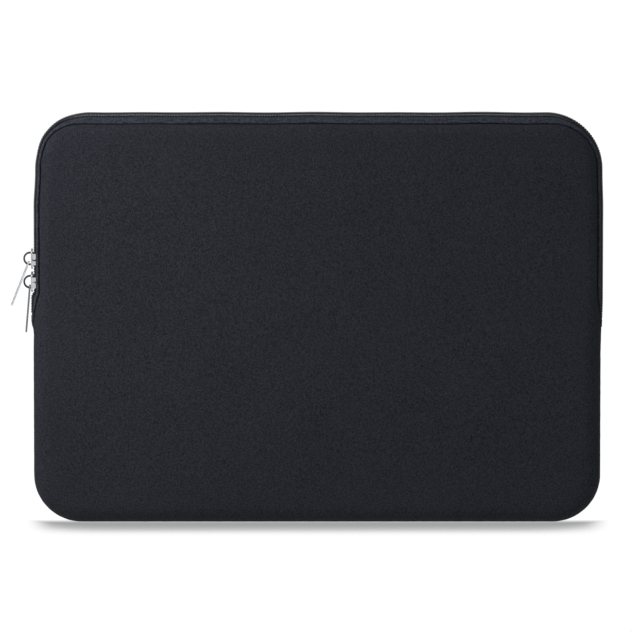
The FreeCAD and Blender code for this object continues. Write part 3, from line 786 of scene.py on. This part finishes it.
def sided(points, side):
    """Points drawn for the front half of the zip, turned over for the back half."""
    moved = points.copy()
    moved[..., 1] -= spread(points) * near(-points[..., 1], 3 * MM, 7.5 * MM)
    if side == "back":
        moved[..., 1] *= -1
    return moved


def carry(piece, side, *nodes):
    """Stand in a zip piece for its CAD nodes, which are hidden: in front it stays where it is built,
    behind it goes on the fixed half.
    """
    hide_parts(*nodes)
    if side == "front":
        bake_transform(piece)
    else:
        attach(piece, FIXED)


def first_turn(side):
    """Where a coil's first turn is: the back coil's turns lie between the front coil's."""
    return COIL_START + (COIL_PITCH / 2 if side == "back" else 0)


def coil_line(side):
    """The wound filament's centre line. Each turn runs in along the tape, round the head that meshes,
    back out above, and down the outer edge to the next turn, where it presses into the tape."""
    turn = [(0.0, -COIL_OUTER, COIL_CENTRE - COIL_RISE - COIL_SAG)]
    turn.append((0.0, -COIL_MIDDLE, COIL_CENTRE - COIL_RISE))
    for angle in np.linspace(-math.pi / 2, math.pi / 2, 6):
        y = -COIL_INNER + COIL_RISE * math.cos(angle)
        turn.append((0.0, y, COIL_CENTRE + COIL_RISE * math.sin(angle)))
    turn.append((0.0, -COIL_MIDDLE, COIL_CENTRE + COIL_RISE))
    for i, angle in enumerate(np.linspace(math.pi / 2, 3 * math.pi / 2, 7)[:-1]):
        y = -COIL_OUTER + COIL_RISE * math.cos(angle)
        sag = COIL_SAG * max(0, -math.sin(angle))
        turn.append((float(smooth(i, 2.5, 6)), y, COIL_CENTRE + COIL_RISE * math.sin(angle) - sag))
    turn = np.array(turn)
    run = first_turn(side) + (np.arange(COIL_TURNS)[:, None] + turn[None, :, 0]) * COIL_PITCH
    y = np.tile(turn[:, 1], (COIL_TURNS, 1))
    lift = np.tile(turn[:, 2], (COIL_TURNS, 1))
    return sided(COIL_TRACK.place(run.ravel(), lift.ravel(), y.ravel()), side)


def make_coils():
    """On each tape a wound filament, the cord inside it, and the two thread rows that hold it down."""
    for side in ("front", "back"):
        coil = make_piece(f"{side}_coil_filament", "zip_coil", tube(coil_line(side), WIRE, 7))
        carry(coil, side, f"{side}_zip_coil")

        run = np.linspace(1 * MM, COIL_TRACK.length - 1 * MM, 700)
        cord_line = sided(COIL_TRACK.place(run, COIL_CENTRE, -COIL_MIDDLE), side)
        cord = make_piece(f"{side}_filler_cord", "filler_cord", tube(cord_line, CORD_RADIUS, 6))
        carry(cord, side, f"{side}_coil_cord")

        turned = np.linspace(0, COIL_TURNS - 1, (COIL_TURNS - 1) * 6 + 1)
        run = first_turn(side) + turned * COIL_PITCH
        rise = 2 * COIL_CENTRE - 0.2 * MM + 0.3 * MM * np.cos(2 * math.pi * turned)
        rows = [tube(sided(COIL_TRACK.place(run, rise, y), side), COIL_THREAD_RADIUS, 5)
                for y in (-1.15 * MM, -1.95 * MM)]
        thread = make_piece(f"{side}_coil_thread", "coil_thread", *rows)
        carry(thread, side, f"{side}_coil_stitching")


def seam_frames(low, leg=LEG, corner=CORNER, beam=BEAM):
    """Where the front panel's edge meets its tape: places, and the panel's outward and inward
    (towards the middle plane) directions there."""
    base, out = arch(PANEL_HALF, PANEL_TOP, PANEL_TOP_RADIUS, low, leg, corner, beam)
    reach = np.where(out[:, 1] > 1e-6, SEAM_REACH, seam_reach(base[:, 1]))
    inset, depth, facing_out, facing_front = rim_place(rim_distance(reach))
    flat = base - out * inset[:, None]
    place = np.stack([flat[:, 0], -depth, flat[:, 1]], axis=1)
    outward = np.stack([out[:, 0] * facing_out, -facing_front, out[:, 1] * facing_out], axis=1)
    inward = np.stack([out[:, 0] * facing_front, facing_out, out[:, 1] * facing_front], axis=1)
    return place, outward, inward


# The tape's fold beside the seam, in millimetres out of the panel's surface and in along it: it comes
# up from its margin, turns back under itself and rolls over a ridge.
TAPE_FOLD = [(-4.4, 0.42), (-3.4, 0.42), (-2.8, 0.8), (-2.6, 1.3), (-2.3, 1.65), (-1.85, 1.55),
             (-1.35, 1.15), (-0.9, 0.75), (-0.5, 0.7), (-0.22, 1.0), (-0.15, 1.5), (-0.4, 2.2)]
TAPE_FLAT_HALF = 3.0 * MM
TAPE_FULL_SPAN = 5.25 * MM
TAPE_BELLY = 0.4 * MM
TAPE_CREASE = 0.8 * MM


def end_fold(z, low):
    """How far the tape's tucked end is lifted at a height, from none at its low end to a full fold
    under the coil's first turns."""
    return smooth(z, low + 2 * MM, low + 9 * MM) * near(z, ZIP_START + 1.5 * MM, ZIP_START + 4 * MM)


def make_tapes():
    """The two tapes, each from its seam margin over the fold, out to the coil and under it."""
    low = ZIP_START - TAPE_TUCK
    seam, outward, inward = seam_frames(low)
    coil, coil_out = arch(COIL_BASE_HALF, COIL_BASE_TOP, COIL_RADIUS, low)
    lift = np.stack([coil_out[:, 0], np.zeros(len(coil)), coil_out[:, 1]], axis=1)
    coil = coil + coil_out * (TAPE_END_RISE * end_fold(coil[:, 1], low))[:, None]
    half = np.maximum(np.minimum(TAPE_FLAT_HALF, -seam[:, 1] - 0.2 * MM), 0.3 * MM)
    bend = np.stack([coil[:, 0], -half, coil[:, 1]], axis=1) - lift * COIL_SAG
    span = np.sum((bend - seam) * inward, axis=1)
    room = np.clip(span / TAPE_FULL_SPAN, 0.05, 1)[:, None]
    rows = [seam + outward * out * MM * (0.5 + 0.5 * room) + inward * over * MM * room
            for out, over in TAPE_FOLD]
    crest = rows[-1]
    for share in np.linspace(0, 1, 15)[1:-1]:
        crease = TAPE_CREASE * math.exp(-((share - 0.9) / 0.08) ** 2)
        belly = TAPE_BELLY * math.sin(math.pi * share) - crease
        rows.append(crest + (bend - crest) * share + lift * belly)
    rows.append(bend)
    slit = 0.1 + 0.9 * smooth(coil[:, 1], ZIP_START - 0.8 * MM, ZIP_START + 0.8 * MM)
    for share in (0.7, 0.45, 0.25):
        under = bend + lift * COIL_SAG * (1 - share)
        rows.append(np.stack([under[:, 0], under[:, 1] * share * slit, under[:, 2]], axis=1))
    grid = np.stack(rows)
    along = np.concatenate([[0], np.cumsum(np.linalg.norm(np.diff(coil, axis=0), axis=1))])
    across = np.concatenate([np.zeros((1, len(coil))),
                             np.cumsum(np.linalg.norm(np.diff(grid, axis=0), axis=2), axis=0)])
    uv = np.stack([np.broadcast_to(along, across.shape), across], axis=2)
    for side in ("front", "back"):
        shape = strip(sided(grid, side), RIBBON, uv, lift[None])
        carry(make_piece(f"{side}_tape", "zip_tape", shape), side, f"{side}_zip_tape")


MIRROR = {"front": np.ones(3), "back": np.array([1, -1, 1])}
STITCH_LENGTH = 2.4 * MM
STITCH_PITCH = 3.1 * MM


def make_topstitching():
    """Lockstitches along each zip seam, down in the groove, and showing again on the binding."""
    seam, outward, inward = seam_frames(ZIP_START)
    run = np.concatenate([[0], np.cumsum(np.linalg.norm(np.diff(seam, axis=0), axis=1))])
    starts_at = np.arange(3 * MM, run[-1] - 6 * MM, STITCH_PITCH)

    def at(lengths, values):
        return np.stack([np.interp(lengths, run, values[:, i]) for i in range(3)], axis=1)

    up = at(starts_at + STITCH_LENGTH / 2, outward)
    up /= np.linalg.norm(up, axis=1, keepdims=True)
    groove = seam - outward * 2.1 * MM + inward * 1.0 * MM
    inside = seam - outward * 4.9 * MM - inward * 2.6 * MM
    for side, flip in MIRROR.items():
        rows = [stitches(at(starts_at, line) * flip, at(starts_at + STITCH_LENGTH, line) * flip,
                         way * flip, SEAM_THREAD_RADIUS, 0.12 * MM)
                for line, way in ((groove, up), (inside, -up))]
        thread = make_piece(f"{side}_topstitching", "seam_thread", *rows)
        carry(thread, side, f"{side}_zip_topstitching")


# The binding's outline, in millimetres under the panel's surface and in along it, from the raw edge
# that it wraps to the lining that it lies on.
BINDING_OUTLINE = [(3.6, 0.85), (4.1, 1.05), (4.9, 1.0), (5.75, 0.55), (6.1, -0.5), (5.95, -1.8),
                   (5.65, -3.2), (5.45, -4.6), (5.35, -5.6)]


def make_zip_bindings():
    """A folded ribbon over each seam's raw edge inside the sleeve."""
    seam, outward, inward = seam_frames(ZIP_START + 1 * MM)
    rows = [seam - outward * depth * MM + inward * over * MM for depth, over in BINDING_OUTLINE]
    grid = np.stack(rows)
    along = np.concatenate([[0], np.cumsum(np.linalg.norm(np.diff(seam, axis=0), axis=1))])
    steps = np.hypot(*np.diff(np.array(BINDING_OUTLINE), axis=0).T)
    across = np.concatenate([[0], np.cumsum(steps)]) * MM
    uv = np.stack(np.broadcast_arrays(along[None, :], across[:, None]), axis=2)
    inside = inward - outward
    for side, flip in MIRROR.items():
        shape = strip(grid * flip, RIBBON, uv, (inside * flip)[None])
        carry(make_piece(f"{side}_binding", "binding_tape", shape), side, f"{side}_zip_seam_binding")


def trough(inset, leg=60, corner=40, beam=200):
    """The line down the left side, along the bottom and up the right side, below the zip's ends."""
    outline = ring(PANEL_HALF, PANEL_TOP, PANEL_TOP_RADIUS, PANEL_LOW_RADIUS, leg, corner, beam)
    base, out = (np.roll(values, -leg, axis=0) for values in outline)
    low = base[:, 1] < FOLD.z - 2 * MM
    return Track(base[low] - out[low] * inset, out[low])


def outward_at(track, run):
    """A track's outward directions in space at a length along it."""
    out = track.at(run)[1]
    return np.stack([out[:, 0], np.zeros(len(out)), out[:, 1]], axis=1)


def make_side_and_bottom_seam():
    """The thread in the closed seam, and the binding over it inside."""
    seam = trough(0.75 * MM)
    starts_at = np.arange(2 * MM, seam.length - 5 * MM, 3.0 * MM)
    starts, ends = seam.place(starts_at, 0.0, 0.0), seam.place(starts_at + 2.3 * MM, 0.0, 0.0)
    up = outward_at(seam, starts_at + 1.1 * MM)
    shape = stitches(starts, ends, up, 0.16 * MM, 0.1 * MM)
    thread = make_piece("side_and_bottom_seam_stitches", "seam_thread", shape)
    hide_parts("side_and_bottom_seam_thread")
    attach(thread, FIXED)

    inner = trough(FABRIC + FOAM + LINING + 0.05 * MM)
    run = np.linspace(1 * MM, inner.length - 1 * MM, 260)
    across = np.linspace(-2.35, 2.35, 9)
    grid = np.stack([inner.place(run, -(0.42 + 0.35 * math.cos(math.pi * y / 5.2)) * MM, y * MM)
                     for y in across])
    uv = np.stack(np.broadcast_arrays(run[None, :], (across - across[0])[:, None] * MM), axis=2)
    shape = strip(grid, RIBBON, uv, -outward_at(inner, run)[None])
    ribbon = make_piece("side_and_bottom_binding", "binding_tape", shape)
    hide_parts("bottom_seam_binding")
    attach(ribbon, FIXED)


def make_end_tacks():
    """Zigzag bars of thread across the seam, below each end of the zip."""
    for side, sign in (("left", -1), ("right", 1)):
        low, high = low_of(f"{side}_zip_end_tack"), high_of(f"{side}_zip_end_tack")
        bars = 9
        z = np.linspace(low.z + 0.3 * MM, high.z - 0.3 * MM, bars)
        x = np.full(bars, sign * (PANEL_HALF + 0.02 * MM))
        lean = 0.22 * MM * (-1) ** np.arange(bars)
        starts = np.stack([x, np.full(bars, low.y), z - lean], axis=1)
        ends = np.stack([x, np.full(bars, high.y), z + lean], axis=1)
        up = np.tile(np.array([float(sign), 0, 0]), (bars, 1))
        shape = stitches(starts, ends, up, 0.24 * MM, 0.08 * MM, sides=8, rings=11)
        tack = make_piece(f"{side}_bar_tack", "seam_thread", shape)
        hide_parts(f"{side}_zip_end_tack")
        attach(tack, FIXED)


# ---------------------------------------------------------------- the metal parts


def dress_metal():
    """Give the sliders, bridges and pulls, which stay as the frame has them, their metals. The lower
    pull gets a darker copy of the pull metal, painted shade for the dark surroundings it mirrors."""
    slots = {"slider_body": "slider_metal", "slider_bridge": "bridge_metal", "pull_tab": "pull_metal"}
    for place in ("upper", "lower"):
        for part, slot in slots.items():
            node = frame["nodes"][f"{place}_{part}"]
            # The lower pull takes the darker copy: painted shade, not wear.
            painted_shade = (place, part) == ("lower", "pull_tab")
            node.data.materials.clear()
            node.data.materials.append(PAINTED_SHADE_PULL if painted_shade else MATERIALS[slot])


# ---------------------------------------------------------------- the studio

AIM = Vector((-1.5 * MM, 0, 128.1 * MM))
ELEVATION = math.radians(10)
DISTANCE = 8.0
VIEW_WIDTH = 388.4 * MM
SENSOR = 36.0


def make_camera():
    data = bpy.data.cameras.new("camera")
    data.sensor_width = SENSOR
    data.lens = SENSOR * DISTANCE / VIEW_WIDTH
    data.clip_end = 60
    camera = bpy.data.objects.new("camera", data)
    camera.location = AIM + DISTANCE * Vector((0, -math.cos(ELEVATION), math.sin(ELEVATION)))
    camera.rotation_euler = (math.pi / 2 - ELEVATION, 0, 0)
    bpy.context.scene.collection.objects.link(camera)
    bpy.context.scene.camera = camera


def make_light(name, place, target, size, power):
    """A square soft light that faces its target."""
    data = bpy.data.lights.new(name, "AREA")
    data.size = size
    data.energy = power
    light = bpy.data.objects.new(name, data)
    light.location = place
    light.rotation_euler = (Vector(target) - Vector(place)).to_track_quat("-Z", "Y").to_euler()
    light.visible_camera = False
    bpy.context.scene.collection.objects.link(light)


def make_world():
    """Even light that is brighter overhead than at the horizon."""
    world = bpy.data.worlds.new("studio")
    bpy.context.scene.world = world
    world.use_nodes = True
    nodes, links = world.node_tree.nodes, world.node_tree.links
    height = nodes.new("ShaderNodeSeparateXYZ")
    links.new(nodes.new("ShaderNodeTexCoord").outputs["Generated"], height.inputs[0])
    ramp = nodes.new("ShaderNodeValToRGB")
    ramp.color_ramp.elements[0].color = (0.10, 0.10, 0.11, 1)
    ramp.color_ramp.elements[1].color = (1.0, 1.0, 1.0, 1)
    links.new(height.outputs[2], ramp.inputs[0])
    links.new(ramp.outputs[0], nodes["Background"].inputs[0])
    nodes["Background"].inputs[1].default_value = 0.6


SHADOW_STOPS = ((0.54, 0.36), (0.70, 0.485), (0.88, 0.90), (0.985, 1.0))
SHADOW_REACH = 46 * MM
WHITE = (1, 1, 1, 1)


def contact_shadow(look):
    """White, except for a soft shadow under the sleeve's front that ends short of its corners."""
    closeness = look.add("AmbientOcclusion", [None, SHADOW_REACH], samples=24).outputs["AO"]
    ramp = look.add("ValToRGB", [closeness])
    stops = ramp.color_ramp.elements
    stops.new(SHADOW_STOPS[1][0])
    stops.new(SHADOW_STOPS[2][0])
    for stop, (place, level) in zip(stops, SHADOW_STOPS):
        stop.position = place
        stop.color = (level, level, level, 1)
    place = look.add("SeparateXYZ", [look.space()])
    across = look.math("ABSOLUTE", place.outputs[0])
    ends = ((across, 163 * MM, 184 * MM), (place.outputs[1], -8 * MM, 6 * MM))
    fades = [look.add("MapRange", end, interpolation_type="SMOOTHSTEP").outputs[0] for end in ends]
    return look.between(look.math("MAXIMUM", *fades), ramp.outputs[0], WHITE)


def floor_material():
    """White to the camera except for the sleeve's contact shadow. Metal mirrors it as plain white, and
    it throws a softer light on everything else."""
    look = Look("floor")
    rays = look.add("LightPath").outputs
    lit = look.add("BsdfDiffuse", [(0.47, 0.47, 0.47, 1)]).outputs[0]
    mirrored = look.add("Emission", [WHITE, 0.85]).outputs[0]
    seen = look.add("Emission", [contact_shadow(look), 1.03]).outputs[0]
    surface = look.add("MixShader", [rays["Is Glossy Ray"], lit, mirrored]).outputs[0]
    surface = look.add("MixShader", [rays["Is Camera Ray"], surface, seen]).outputs[0]
    look.links.new(surface, look.nodes["Material Output"].inputs["Surface"])
    return look.material


def make_floor():
    mesh = bpy.data.meshes.new("floor")
    mesh.from_pydata([(-8, -8, 0), (8, -8, 0), (8, 12, 0), (-8, 12, 0)], [], [(0, 1, 2, 3)])
    mesh.materials.append(floor_material())
    floor = bpy.data.objects.new("floor", mesh)
    bpy.context.scene.collection.objects.link(floor)


def make_studio():
    make_world()
    make_floor()
    make_light("side", (-0.38, -0.30, 0.37), (-0.10, 0, 0.14), 0.25, 1.2)
    make_light("key", (-1.5, -1.3, 1.9), (0, 0, 0.12), 1.2, 20)
    make_light("fill", (0.9, -2.4, 0.7), (0, 0, 0.12), 1.6, 4.5)
    make_camera()
    bpy.context.scene.view_settings.view_transform = "Standard"
    bpy.context.scene.view_settings.look = "None"


# ---------------------------------------------------------------- the whole sleeve

make_panels()
make_tapes()
make_coils()
make_topstitching()
make_zip_bindings()
make_side_and_bottom_seam()
make_end_tacks()
dress_metal()
make_studio()
